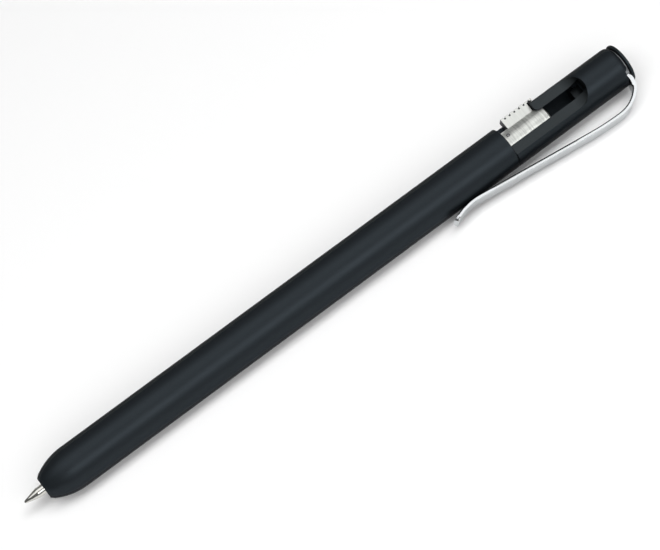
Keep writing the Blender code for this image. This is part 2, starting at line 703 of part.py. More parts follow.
def shade(item):
    """Keeps the shape that the modifiers make as the object's own mesh, smooth with crisp corners."""
    evaluated = item.evaluated_get(bpy.context.evaluated_depsgraph_get())
    mesh = bpy.data.meshes.new_from_object(evaluated)
    mesh.name = item.name
    item.modifiers.clear()
    item.data = mesh
    mesh.shade_smooth()
    mesh.set_sharp_from_angle(angle=math.radians(SMOOTH_DEG))


def main():
    clear_scene()
    parts = add_collection("bolt_action_pen")
    cutters = add_collection("cutters")
    axis = bpy.data.objects.new("pen_axis", None)
    parts.objects.link(axis)
    lay_down(axis)

    black = ("black anodised aluminium", (0.028, 0.032, 0.036), 0.45, 0.6)
    faced = ("black anodised cap", (0.020, 0.022, 0.024), 0.5, 0.6)
    steel = ("polished stainless steel", (0.75, 0.76, 0.77), 0.15, 1.0)
    machined = ("machined stainless steel", (0.78, 0.77, 0.74), 0.32, 1.0)
    grooved = ("machined steel tab", (0.76, 0.75, 0.72), 0.35, 1.0)
    wire = ("spring wire", (0.6, 0.6, 0.6), 0.3, 1.0)
    nickel = ("nickel silver", (0.72, 0.68, 0.6), 0.25, 1.0)
    carbide = ("tungsten carbide", (0.45, 0.45, 0.46), 0.2, 1.0)
    brass = ("brass", (0.75, 0.58, 0.3), 0.3, 1.0)
    tinplate = ("plated tube", (0.62, 0.63, 0.65), 0.3, 1.0)
    nylon = ("grey nylon", (0.25, 0.25, 0.26), 0.5, 0.0)

    finishes = [
        (front_barrel(parts, axis), black),
        (rear_barrel(parts, cutters, axis), black),
        (pocket_clip(parts, cutters, axis), steel),
        (end_cap(parts, axis), faced),
        (bolt(parts, cutters, axis), machined),
        (thumb_tab(parts, axis), grooved),
        (return_spring(parts, axis), wire),
        (refill_tip(parts, axis), nickel),
        (writing_ball(parts, axis), carbide),
        (refill_neck(parts, axis), brass),
        (refill_tube(parts, axis), tinplate),
        (refill_plug(parts, axis), nylon),
    ]
    bpy.context.view_layer.update()
    for item, (name, color, roughness, metallic) in finishes:
        if item.type == "MESH":
            shade(item)
        item.data.materials.clear()
        item.data.materials.append(add_material(f"{item.name} {name}", color, roughness, metallic))


main()
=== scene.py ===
"""Looks for a bolt action ballpoint pen: its finishes, eased edges, small details, studio and camera.

The pen lies along X with its cap at +X, and rests on its barrel and on the edge of its clip. Lengths are in
metres. An angle round the pen is counted about +X from +Y, so 90 degrees is straight up.
"""

import math

import bmesh
import bpy
from mathutils import Matrix, Vector


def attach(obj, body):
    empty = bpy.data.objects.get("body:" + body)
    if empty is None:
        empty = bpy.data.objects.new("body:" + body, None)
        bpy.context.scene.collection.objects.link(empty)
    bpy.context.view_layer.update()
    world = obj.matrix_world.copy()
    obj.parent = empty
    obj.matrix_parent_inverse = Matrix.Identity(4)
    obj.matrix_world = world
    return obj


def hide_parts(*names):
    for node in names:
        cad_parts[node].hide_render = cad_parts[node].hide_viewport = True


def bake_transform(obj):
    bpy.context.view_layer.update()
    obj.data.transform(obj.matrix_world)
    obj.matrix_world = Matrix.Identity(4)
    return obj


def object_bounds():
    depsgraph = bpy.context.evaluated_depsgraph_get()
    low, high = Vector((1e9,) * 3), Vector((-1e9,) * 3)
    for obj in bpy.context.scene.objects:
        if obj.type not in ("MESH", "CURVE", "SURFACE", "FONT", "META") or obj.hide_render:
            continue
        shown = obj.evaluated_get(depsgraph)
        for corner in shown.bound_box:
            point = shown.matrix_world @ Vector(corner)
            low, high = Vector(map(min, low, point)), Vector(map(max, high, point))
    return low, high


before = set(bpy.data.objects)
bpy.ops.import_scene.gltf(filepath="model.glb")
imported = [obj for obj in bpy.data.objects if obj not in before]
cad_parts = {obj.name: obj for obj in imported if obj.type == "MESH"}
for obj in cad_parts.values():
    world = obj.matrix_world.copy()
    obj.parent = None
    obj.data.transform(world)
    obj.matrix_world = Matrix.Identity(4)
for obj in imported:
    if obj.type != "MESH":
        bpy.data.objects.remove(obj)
cad_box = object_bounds()

bl_info = {
    "name": "Bolt Action Pen",
    "version": (1, 0, 0),
    "blender": (4, 5, 0),
    "location": "3D View > Sidebar > Pen",
    "description": "Dresses a bolt action pen with its finishes and sets it in a small studio",
    "category": "Add Mesh",
}

MM = 0.001
ALONG = Vector((1.0, 0.0, 0.0))

# Meshes: the distance to weld over, the bends of a flat face, of an edge to ease and of a crisp one, the
# steps of an eased edge, and the most finishes that a piece has
WELD = 0.0005 * MM
FLAT_DEG = 0.3
CORNER_DEG = 35.0
SMOOTH_DEG = 40.0
EASED_STEPS = 2
MOST_SLOTS = 3

# The least share of a normal along a direction that it faces, and the most that a hollow's has outwards
FACING = 0.5
HOLLOW = 0.1

# Angles round the pen
WINDOW_DEG = 101.63
CLIP_DEG = 197.13
TAB_DEG = 18.13
PIN_DEG = 84.0

# The barrel: its skin, just inside the modelled one, its milled flat, the slot in that, and its bore's walls
BARREL_SKIN = 4.485 * MM
FLAT_HEIGHT = 2.8 * MM
WINDOW_TOP = -9.95 * MM
MILL_RADIUS = 4.13 * MM
SLOT_HALF = 1.35 * MM
SLOT_TOP = -10.33 * MM
SLOT_FLOOR = 0.6 * MM
BORE_REACH = 3.4 * MM

# The round hollows that the cutters leave where they lift out of the flat and out of the slot. What fills
# the window behind them is sunk a little into the barrel, and the first one starts a lip below the flat
FLAT_RUNOUT_RADIUS = 5.11 * MM
FLAT_RUNOUT_START = -13.75 * MM
FLAT_RUNOUT_DEG = 80.0
SLOT_RUNOUT_RADIUS = 2.25 * MM
SLOT_RUNOUT_START = -12.2 * MM
SLOT_RUNOUT_DEG = 56.0
RUNOUT_SUNK = 0.02 * MM
RUNOUT_LIP = 0.005 * MM
RUNOUT_CLEAR = 8.0 * MM
ARC_STEPS = 60
DISC_STEPS = 128
SKIN_STEPS = 256

# The black dye: its tones in the grain, how far handling moves its roughness, and what is left of its colour
# and of its reflections' tint where painted shade darkens the cutters' hollows at the rear end of the window
DYE_DARK = 0.9
DYE_BRIGHT = 1.12
HANDLING = 0.05
HOLLOW_SHADE_SHARE = 0.15
HOLLOW_SHADE_START = -13.7 * MM
HOLLOW_SHADE_END = -9.9 * MM

# The clip's straight arm: its slope, and the steps that it is cut into to match its bends
CLIP_SLOPE_DEG = 7.1
LONGEST_STEP = 5.0 * MM
ARM_CUTS = 15

# The clip's ring: how far down and how far out its rim lies, and where the strip is clear of it
RING_BASE = -1.7 * MM
RING_REACH = 3.0 * MM
ROOT_END = -1.9 * MM

# The very small rounds that the clip's edges are modelled with, and how far a face of such a round leans
MODELLED_EDGE = 0.0042 * MM
LEAST_LEAN = 0.05
MOST_LEAN = 0.999

# The small pin in the bolt, and the counterbore that it sits in
BOLT_RADIUS = 2.95 * MM
PIN_PLACE = -28.12 * MM
PIN_LENGTH = 0.5 * MM
PIN_PROUD = 0.02 * MM
PIN_RING = 0.13 * MM
PIN_RING_DEPTH = 0.15 * MM
PEG_STEPS = 24

# The thumb tab, and the pits at the ends of its grooves
TAB_TOP_RADIUS = 5.1 * MM
TAB_WIDTH = 2.4 * MM
FIRST_PIT = -26.05 * MM
PIT_PITCH = 1.17 * MM
PIT_COUNT = 6
PIT_DEPTH = 0.25 * MM
PIT_HEIGHT = 0.42 * MM

# The return spring's ends: the nose's seat holds one and the refill's flange moves the other
SPRING_FRONT = -139.65 * MM
SPRING_REAR = -133.35 * MM

# The writing tip and its ball: place along the pen and radius in millimetres, from the point backwards
TIP_PROFILE = (
    (-145.35, 0.0), (-145.62, 0.24), (-145.68, 0.26), (-145.68, 0.29), (-145.62, 0.33), (-144.2, 0.70),
    (-142.86, 1.03), (-142.78, 1.05), (-138.0, 1.05), (-137.55, 1.05), (-137.55, 0.85), (-135.1, 0.85),
    (-135.1, 0.0),
)
TIP_STEPS = 48
BALL_MIDDLE = -145.6
BALL_RADIUS = 0.25
BALL_ROWS = 12
BALL_STEPS = 24

# The studio: the pen's middle, the lamps' distance from it, the paper's glow, and the world's strength at its
# dark side, towards the nose, and at its bright side
MIDDLE = Vector((-0.0728, 0.0, 0.0))
LAMP_DISTANCE = 0.5
PAPER_GLOW = 0.07
DARK_AT = -0.5
DARK_STRENGTH = 0.15
BRIGHT_AT = 0.15
BRIGHT_STRENGTH = 0.3

# Each soft lamp: angle round the pen, shift along it, width and depth, radiance and what it is for
SOFTBOXES = {
    "overhead lamp": (95.0, 0.0, (1.0, 0.24), 3.45, "lighting"),
    "camera side lamp": (142.0, 0.0, (1.0, 0.24), 1.4, "lighting"),
    "camera side card": (137.0, 0.1, (0.6, 0.2), 3.0, "reflections"),
    "overhead card": (82.0, 0.0, (0.8, 0.4), 1.15, "reflections"),
}

# The camera: the picture's width and the lens in pixels, its place round the pen, and how it leans and tilts
FRAME_WIDTH = 660
FOCAL_PIXELS = 2273.0
SENSOR_WIDTH = 36.0
CAMERA_DEG = 122.13
CAMERA_LEAN_DEG = 9.0
CAMERA_TILT_DEG = 36.35104
CAMERA_DISTANCE = 0.442
AIM_SHIFT = 0.43 * MM
VIEW_START = 0.01
VIEW_END = 20.0


def linear(code):
    """An sRGB colour, written as a hex code, as linear red, green and blue."""
    channels = [int(code[start:start + 2], 16) / 255 for start in (1, 3, 5)]
    return [value / 12.92 if value <= 0.04045 else ((value + 0.055) / 1.055) ** 2.4 for value in channels]


def direction(angle_deg):
    """The direction straight out of the pen at an angle round it."""
    angle = math.radians(angle_deg)
    return Vector((0.0, math.cos(angle), math.sin(angle)))


def radial_frame(angle_deg):
    """A turn that keeps X along the pen and puts Z straight out at an angle round it."""
    out = direction(angle_deg)
    return Matrix((ALONG, out.cross(ALONG), out)).transposed().to_4x4()


def length_setting(name, default, description):
    """A setting for a length, in metres."""
    return bpy.props.FloatProperty(name=name, description=description, default=default, min=0.0,
                                   unit="LENGTH", precision=5)


def color_setting(name, code, description):
    """A setting for a colour, which starts from an sRGB hex code."""
    return bpy.props.FloatVectorProperty(name=name, description=description, default=linear(code), size=3,
                                         min=0.0, max=1.0, subtype="COLOR")


class PenSizes(bpy.types.PropertyGroup):
    """Sizes of what the dressing adds to the modelled pieces."""

    barrel_edge: length_setting("Barrel edge", 0.06 * MM, "Easing of the barrel's turned and milled edges")
    steel_edge: length_setting("Steel edge", 0.05 * MM, "Easing of the edges of bolt, tab and cap")
    clip_edge: length_setting("Clip edge", 0.38 * MM, "Width of the chamfers on the clip's inner edges")
    pin_diameter: length_setting("Pin diameter", 0.55 * MM, "Small pin in the bolt in front of the tab")
    pit_diameter: length_setting("Pit diameter", 0.42 * MM, "Round pit at each end of the tab's grooves")
    floor_reach: length_setting("Floor reach", 3.0, "Half the width of the studio's floor")


class PenFinishes(bpy.types.PropertyGroup):
    """Colours of the pen's finishes and of its studio."""

    anodised: color_setting("Anodised barrel", "#2a2f33", "Black dyed anodised aluminium")
    # The milled colour is the dye painted a little lighter: painted light on the window's flat
    milled: color_setting("Milled window", "#303436", "Black dye where the barrel's window was milled")
    # Painted light: the bore and the slot get the dye made lighter
    bore_painted_light: color_setting("Bore painted lighter", "#32383d", "Black dye painted lighter, as light, in the bore and the slot")
    tint: color_setting("Dye's tint", "#7a7d80", "Tint that the dye gives to what the aluminium mirrors")
    polished: color_setting("Polished clip", "#cccfd1", "Polished stainless steel strip")
    blanked: color_setting("Blanked rim", "#8e9194", "Stainless steel where the clip's ring was blanked")
    machined: color_setting("Machined bolt", "#d8dad6", "Turned and milled stainless steel")
    # Painted shade: a dark steel for the tab's grooves, pits and ends and the ring round the pin
    painted_shade_steel: color_setting("Painted shade on tab and pin", "#56575a", "Dark steel painted as shade in the tab's grooves, pits and ends and round the pin")
    pressed: color_setting("Pressed pin", "#a3a5a6", "Dull steel of the pin in the bolt")
    nickel: color_setting("Writing tip", "#cfcec9", "Turned nickel silver")
    carbide: color_setting("Writing ball", "#8c8d90", "Ground tungsten carbide")
    brass: color_setting("Refill neck", "#c9a866", "Turned brass")
    plated: color_setting("Refill tube", "#bcbfc3", "Drawn and plated steel tube")
    wire: color_setting("Return spring", "#b4b6b8", "Drawn spring steel")
    nylon: color_setting("Refill plug", "#77797c", "Moulded grey nylon")
    floor: color_setting("Floor", "#f7f7f7", "Matt white studio paper")


def link_up(tree, node, links):
    """Links other nodes' outputs into a node's sockets."""
    for name, source in links.items():
        tree.links.new(source, node.inputs[name])


def add_node(tree, kind, settings=None, links=None):
    """Adds one node, sets its own fields and its sockets' values, and links other nodes into it."""
    made = tree.nodes.new(kind)
    for name, value in (settings or {}).items():
        if isinstance(name, int) or name in made.inputs:
            made.inputs[name].default_value = value
        else:
            setattr(made, name, value)
    link_up(tree, made, links or {})
    return made


def new_material(name, **sockets):
    """A material with its Principled shader set to plain values; returns material, tree and shader."""
    material = bpy.data.materials.new(name)
    material.use_nodes = True
    tree = material.node_tree
    shader = tree.nodes["Principled BSDF"]
    for socket, value in sockets.items():
        shader.inputs[socket.replace("_", " ")].default_value = value
    return material, tree, shader


def scaled(color, share):
    """A colour made darker or brighter, but no brighter than white, with full opacity."""
    return (*[min(share * channel, 1.0) for channel in color], 1.0)


def pen_coordinates(tree, stretch=(1.0, 1.0, 1.0), turn=(0.0, 0.0, 0.0)):
    """The pen's coordinates in millimetres, turned, and then drawn out along each axis of a small share."""
    place = add_node(tree, "ShaderNodeTexCoord")
    scale = [MM / share for share in stretch]
    fitted = add_node(tree, "ShaderNodeMapping", {"vector_type": "TEXTURE", "Rotation": turn, "Scale": scale},
                      {"Vector": place.outputs["Object"]})
    return fitted.outputs["Vector"]


def anodised_aluminium(name, color, grain=0.25, roughness=0.42, shade_span=None):
    """Aluminium, dyed black and anodised: a dry, even sheen over a fine grain, and never a mirror.

    Blasting and milling leave a grain of about 0.05 mm, too fine to show, so it is drawn at 0.25 mm or more.
    Between two places along the pen its colour and reflections can darken, a painted shade, as in a cutter's
    hollow.
    """
    tint = bpy.context.scene.pen_finishes.tint
    material, tree, shader = new_material(name, Metallic=0.7, Specular_Tint=scaled(tint, 1.0))
    place = pen_coordinates(tree)
    # Handling leaves patches of about 8 mm that differ a little in gloss
    handled = add_node(tree, "ShaderNodeTexNoise", {"Scale": 0.12, "Detail": 3.0}, {"Vector": place})
    gloss = add_node(tree, "ShaderNodeMapRange", {"To Min": roughness - HANDLING,
                                                  "To Max": roughness + HANDLING},
                     {"Value": handled.outputs["Fac"]})
    pitted = add_node(tree, "ShaderNodeTexNoise", {"Scale": 1.0 / grain, "Detail": 4.0, "Roughness": 0.6},
                      {"Vector": place})
    tone = add_node(tree, "ShaderNodeMix", {"data_type": "RGBA", "A": scaled(color, DYE_DARK),
                                            "B": scaled(color, DYE_BRIGHT)},
                    {"Factor": pitted.outputs["Fac"]})
    bump = add_node(tree, "ShaderNodeBump", {"Strength": 0.25, "Distance": 0.01 * MM},
                    {"Height": pitted.outputs["Fac"]})
    # Painted shade: between the two places the colour and the reflections' tint darken to a small share
    if shade_span is not None:
        split = add_node(tree, "ShaderNodeSeparateXYZ", links={"Vector": place})
        fade = add_node(tree, "ShaderNodeMapRange", {"From Min": shade_span[0] / MM, "From Max": shade_span[1] / MM},
                        {"Value": split.outputs["X"]})
        tone = add_node(tree, "ShaderNodeMix", {"data_type": "RGBA", "B": scaled(color, HOLLOW_SHADE_SHARE)},
                        {"Factor": fade.outputs["Result"], "A": tone.outputs["Result"]})
        shaded_tint = add_node(tree, "ShaderNodeMix", {"data_type": "RGBA", "A": scaled(tint, 1.0),
                                                 "B": scaled(tint, HOLLOW_SHADE_SHARE)},
                         {"Factor": fade.outputs["Result"]})
        link_up(tree, shader, {"Specular Tint": shaded_tint.outputs["Result"]})
    link_up(tree, shader, {"Base Color": tone.outputs["Result"], "Roughness": gloss.outputs["Result"],
                           "Normal": bump.outputs["Normal"]})
    return material


def metal(name, color, roughness, spread, grain, depth, stretch=(1.0, 1.0, 1.0), turn=(0.0, 0.0, 0.0),
          contrast=None):
    """Bare or plated metal with fine tool lines: noise drawn out along them, in colour, gloss and relief.

    Real tool lines are 0.01 to 0.1 mm wide, too fine to show, so each finish draws them wider.
    """
    contrast = spread if contrast is None else contrast
    material, tree, shader = new_material(name, Metallic=1.0)
    lines = add_node(tree, "ShaderNodeTexNoise", {"Scale": 1.0 / grain, "Detail": 3.0, "Roughness": 0.55},
                     {"Vector": pen_coordinates(tree, stretch, turn)})
    gloss = add_node(tree, "ShaderNodeMapRange", {"To Min": roughness - spread, "To Max": roughness + spread},
                     {"Value": lines.outputs["Fac"]})
    # The noise seldom leaves its middle, so that alone covers the whole range of tones
    clear = add_node(tree, "ShaderNodeMapRange", {"From Min": 0.35, "From Max": 0.65},
                     {"Value": lines.outputs["Fac"]})
    tone = add_node(tree, "ShaderNodeMix", {"data_type": "RGBA", "A": scaled(color, 1.0 - contrast),
                                            "B": scaled(color, 1.0 + contrast)},
                    {"Factor": clear.outputs["Result"]})
    bump = add_node(tree, "ShaderNodeBump", {"Strength": 0.5, "Distance": depth},
                    {"Height": lines.outputs["Fac"]})
    link_up(tree, shader, {"Base Color": tone.outputs["Result"], "Roughness": gloss.outputs["Result"],
                           "Normal": bump.outputs["Normal"]})
    return material


def moulded_nylon(name, color):
    """Moulded nylon: soft, waxy highlights over the mould's faint dimples, which are about 0.25 mm wide."""
    material, tree, shader = new_material(name, Roughness=0.5, Base_Color=scaled(color, 1.0))
    dimples = add_node(tree, "ShaderNodeTexNoise", {"Scale": 4.0, "Detail": 2.0},
                       {"Vector": pen_coordinates(tree)})
    bump = add_node(tree, "ShaderNodeBump", {"Strength": 0.3, "Distance": 0.01 * MM},
                    {"Height": dimples.outputs["Fac"]})
    link_up(tree, shader, {"Normal": bump.outputs["Normal"]})
    return material


def studio_paper(name, color):
    """Matt white paper: no highlights, and a faint tooth of about 0.5 mm that only a close view shows.

    Seen directly or in a reflection it also glows a little, so that it looks as white as an overlit sheet.
    """
    material, tree, shader = new_material(name, Roughness=0.9, Specular_IOR_Level=0.1,
                                          Base_Color=scaled(color, 1.0))
    tooth = add_node(tree, "ShaderNodeTexNoise", {"Scale": 2.0, "Detail": 3.0},
                     {"Vector": pen_coordinates(tree)})
    bump = add_node(tree, "ShaderNodeBump", {"Strength": 0.1, "Distance": 0.02 * MM},
                    {"Height": tooth.outputs["Fac"]})
    link_up(tree, shader, {"Normal": bump.outputs["Normal"]})
    path = add_node(tree, "ShaderNodeLightPath")
    seen = add_node(tree, "ShaderNodeMath", {"operation": "MAXIMUM"},
                    {0: path.outputs["Is Camera Ray"], 1: path.outputs["Is Glossy Ray"]})
    seen = add_node(tree, "ShaderNodeMath", {"operation": "MAXIMUM"},
                    {0: seen.outputs["Value"], 1: path.outputs["Is Transmission Ray"]})
    lift = add_node(tree, "ShaderNodeMath", {"operation": "MULTIPLY", 1: PAPER_GLOW},
                    {0: seen.outputs["Value"]})
    glow = add_node(tree, "ShaderNodeEmission", links={"Strength": lift.outputs["Value"]})
    lit = add_node(tree, "ShaderNodeAddShader",
                   links={0: shader.outputs["BSDF"], 1: glow.outputs["Emission"]})
    link_up(tree, tree.nodes["Material Output"], {"Surface": lit.outputs["Shader"]})
    return material


def ease(bm, edge):
    """Bevels a mesh's sharp edges by a width."""
    sharp = [item for item in bm.edges
             if len(item.link_faces) == 2 and item.calc_face_angle() > math.radians(CORNER_DEG)]
    bmesh.ops.bevel(bm, geom=sharp, offset=edge, offset_type="OFFSET", segments=EASED_STEPS, profile=0.5,
                    affect="EDGES", material=-1, clamp_overlap=True)


def modelled_skin(node):
    """A modelled piece's skin, joined from its loose triangles."""
    bm = bmesh.new()
    bm.from_mesh(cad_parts[node].data)
    bmesh.ops.remove_doubles(bm, verts=bm.verts, dist=WELD)
    bmesh.ops.dissolve_limit(bm, angle_limit=math.radians(FLAT_DEG), verts=bm.verts, edges=bm.edges)
    return bm


def eased_skin(node, edge):
    """A modelled piece's skin with its sharp edges eased."""
    bm = modelled_skin(node)
    if edge > 0.0:
        ease(bm, edge)
    return bm


def cylinder(bm, radius, length, matrix, steps):
    """A closed round solid about the Z axis of a matrix, with its middle there."""
    bmesh.ops.create_cone(bm, cap_ends=True, segments=steps, radius1=radius, radius2=radius, depth=length,
                          matrix=matrix)


def add_peg(bm, place, angle_deg, top, radius, length, shift=Vector()):
    """A round peg that points straight out at an angle round the pen, or beside that line by a shift."""
    middle = Vector((place, 0.0, 0.0)) + shift + direction(angle_deg) * (top - length / 2)
    cylinder(bm, radius, length, Matrix.Translation(middle) @ radial_frame(angle_deg), PEG_STEPS)


def prism(outline, half_width):
    """A side outline, from (X, Z), drawn out to both sides along Y."""
    bm = bmesh.new()
    face = bm.faces.new([bm.verts.new((x, -half_width, z)) for x, z in outline])
    drawn = bmesh.ops.extrude_face_region(bm, geom=[face])
    moved = [item for item in drawn["geom"] if isinstance(item, bmesh.types.BMVert)]
    bmesh.ops.translate(bm, verts=moved, vec=(0.0, 2 * half_width, 0.0))
    bmesh.ops.recalc_face_normals(bm, faces=bm.faces)
    return bm


def spun(profile, steps):
    """A closed solid of revolution about the pen's axis, from (place along it, radius) in millimetres."""
    bm = bmesh.new()
    points = [bm.verts.new((place * MM, radius * MM, 0.0)) for place, radius in profile]
    edges = [bm.edges.new(pair) for pair in zip(points, points[1:])]
    bmesh.ops.spin(bm, geom=points + edges, cent=(0.0, 0.0, 0.0), axis=ALONG, angle=math.tau, steps=steps,
                   use_merge=True)
    bmesh.ops.remove_doubles(bm, verts=bm.verts, dist=WELD)
    bmesh.ops.recalc_face_normals(bm, faces=bm.faces)
    return bm


def hollow_arc(start, floor, radius, last_deg):
    """The path, as (X, Z), of a round cutter that lifts out of a floor: level at first, and then upwards."""
    turns = [math.radians(last_deg * step / ARC_STEPS) for step in range(ARC_STEPS + 1)]
    return [(start + radius * math.sin(turn), floor + radius * (1.0 - math.cos(turn))) for turn in turns]


def combined(bm, tool, operation):
    """A solid after a Boolean operation with a tool, both of which it uses up."""
    objects = []
    for name, shape in (("solid", bm), ("tool", tool)):
        mesh = bpy.data.meshes.new(name)
        shape.to_mesh(mesh)
        shape.free()
        for _ in range(MOST_SLOTS):
            mesh.materials.append(None)
        objects.append(bpy.data.objects.new(name, mesh))
        bpy.context.scene.collection.objects.link(objects[-1])
    cut = objects[0].modifiers.new("cut", "BOOLEAN")
    cut.operation = operation
    cut.solver = "EXACT"
    cut.object = objects[1]
    bpy.context.view_layer.update()
    made = bmesh.new()
    made.from_object(objects[0], bpy.context.evaluated_depsgraph_get())
    for item in objects:
        mesh = item.data
        bpy.data.objects.remove(item)
        bpy.data.meshes.remove(mesh)
    return made


def in_second_finish(bm):
    """The same mesh, with all its faces in their piece's second material."""
    for face in bm.faces:
        face.material_index = 1
    return bm


def add_piece(name, bm, body, materials, replaced=(), pressed=None):
    """Turns a bmesh into a piece with smooth skin and crisp corners, which rides on a body.

    A pressed piece is baked where it stands instead, and rides on no body.
    """
    mesh = bpy.data.meshes.new(name)
    bm.to_mesh(mesh)
    bm.free()
    mesh.shade_smooth()
    mesh.set_sharp_from_angle(angle=math.radians(SMOOTH_DEG))
    for material in materials:
        mesh.materials.append(material)
    piece = bpy.data.objects.new(name, mesh)
    bpy.context.scene.collection.objects.link(piece)
    normals = piece.modifiers.new("Flat faces first", "WEIGHTED_NORMAL")
    normals.keep_sharp = True
    if replaced:
        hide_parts(*replaced)
    if pressed is None:
        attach(piece, body)
    else:
        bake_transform(piece)
    return piece


def dress_node(node, material):
    """Gives a modelled piece that keeps its shape its finish."""
    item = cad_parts[node]
    item.data.materials.clear()
    item.data.materials.append(material)


class PEN_OT_barrel(bpy.types.Operator):
    """Dress both barrel halves in black anodised aluminium"""

    bl_idname = "pen.barrel"
    bl_label = "Barrel"
    bl_options = {"REGISTER", "UNDO"}

    def execute(self, context):
        edge = context.scene.pen_sizes.barrel_edge
        finishes = context.scene.pen_finishes
        # Bead blasting leaves a dry, even satin that the dye turns nearly black
        blasted = anodised_aluminium("blasted black anodised aluminium", finishes.anodised)
        # An end mill leaves the flat smoother, so that it mirrors a little more of the room. Its dye is
        # painted a little lighter, as painted light on the flat, and painted shade darkens the hollows behind
        # it
        milled = anodised_aluminium("milled black anodised aluminium", finishes.milled, grain=0.4,
                                    roughness=0.34, shade_span=(HOLLOW_SHADE_START, HOLLOW_SHADE_END))
        # A drill leaves a rougher wall; its dye is painted lighter, as painted light in the bore and the slot
        bore_painted_light = anodised_aluminium("black anodised aluminium painted lighter in the bore", finishes.bore_painted_light, grain=0.4,
                                     roughness=0.5)
        add_piece("barrel_front", eased_skin("front_barrel", edge), "pen_body", [blasted],
                  ["front_barrel"])
        half = eased_skin("rear_barrel", edge)
        for face in half.faces:
            face.material_index = self.cut_of(face)
        for runout in (self.flat_runout(), self.slot_runout()):
            bmesh.ops.transform(runout, matrix=radial_frame(WINDOW_DEG), verts=runout.verts)
            half = combined(half, in_second_finish(runout), "UNION")
        rear = add_piece("barrel_rear", half, "pen_body", [blasted, milled, bore_painted_light],
                         ["rear_barrel"])
        for face in rear.data.polygons:
            face.use_smooth = face.material_index != 1
        return {"FINISHED"}

    def flat_runout(self):
        """What the cutter leaves of the window's rear end where it lifts out of the flat."""
        floor = FLAT_HEIGHT - RUNOUT_SUNK
        middle = Vector((WINDOW_TOP - MILL_RADIUS, 0.0, (floor + BARREL_SKIN) / 2))
        fill = bmesh.new()
        cylinder(fill, MILL_RADIUS + RUNOUT_SUNK, BARREL_SKIN - floor, Matrix.Translation(middle), DISC_STEPS)
        skin = bmesh.new()
        cylinder(skin, BARREL_SKIN, 2 * RUNOUT_CLEAR, Matrix.Translation(ALONG * FLAT_RUNOUT_START)
                 @ Matrix.Rotation(math.pi / 2, 4, "Y"), SKIN_STEPS)
        path = hollow_arc(FLAT_RUNOUT_START, FLAT_HEIGHT - RUNOUT_LIP, FLAT_RUNOUT_RADIUS, FLAT_RUNOUT_DEG)
        start, end = FLAT_RUNOUT_START - RUNOUT_CLEAR, path[-1][0]
        below, above = floor - RUNOUT_SUNK, FLAT_HEIGHT + RUNOUT_CLEAR
        swept = [(start, below), (FLAT_RUNOUT_START, below), *path, (end, above), (start, above)]
        slot = [(start, 0.0), (SLOT_TOP, 0.0), (SLOT_TOP, above), (start, above)]
        fill = combined(fill, skin, "INTERSECT")
        fill = combined(fill, prism(swept, RUNOUT_CLEAR), "DIFFERENCE")
        return combined(fill, prism(slot, SLOT_HALF), "DIFFERENCE")

    def slot_runout(self):
        """The slot's floor at its rear end, which its cutter leaves in a round."""
        path = hollow_arc(SLOT_RUNOUT_START, SLOT_FLOOR, SLOT_RUNOUT_RADIUS, SLOT_RUNOUT_DEG)
        end, base = SLOT_TOP + RUNOUT_SUNK, SLOT_FLOOR - SLOT_RUNOUT_RADIUS
        return prism([(SLOT_RUNOUT_START, base), (end, base), (end, path[-1][1]), *reversed(path)],
                     SLOT_HALF + RUNOUT_SUNK)

    def cut_of(self, face):
        """0 for the turned and blasted skin, 1 for the milled flat and 2 for what the window opens on."""
        middle = face.calc_center_median()
        if face.normal.angle(direction(WINDOW_DEG)) < math.radians(FLAT_DEG):
            return 1 if middle.dot(direction(WINDOW_DEG)) > FLAT_HEIGHT - WELD else 2
        outward = middle * Vector((0.0, 1.0, 1.0))
        return 2 if face.normal.dot(outward.normalized()) < HOLLOW and outward.length < BORE_REACH else 0


class PEN_OT_end_cap(bpy.types.Operator):
    """Dress the end cap"""

    bl_idname = "pen.end_cap"
    bl_label = "End cap"
    bl_options = {"REGISTER", "UNDO"}

    def execute(self, context):
        # The disc is faced on a lathe before it is dyed, and so is a little glossier than the barrel
        faced = anodised_aluminium("faced black anodised aluminium", context.scene.pen_finishes.anodised,
                                   roughness=0.38)
        add_piece("cap_disc", eased_skin("end_cap", context.scene.pen_sizes.steel_edge), "pen_body",
                  [faced], ["end_cap"])
        return {"FINISHED"}


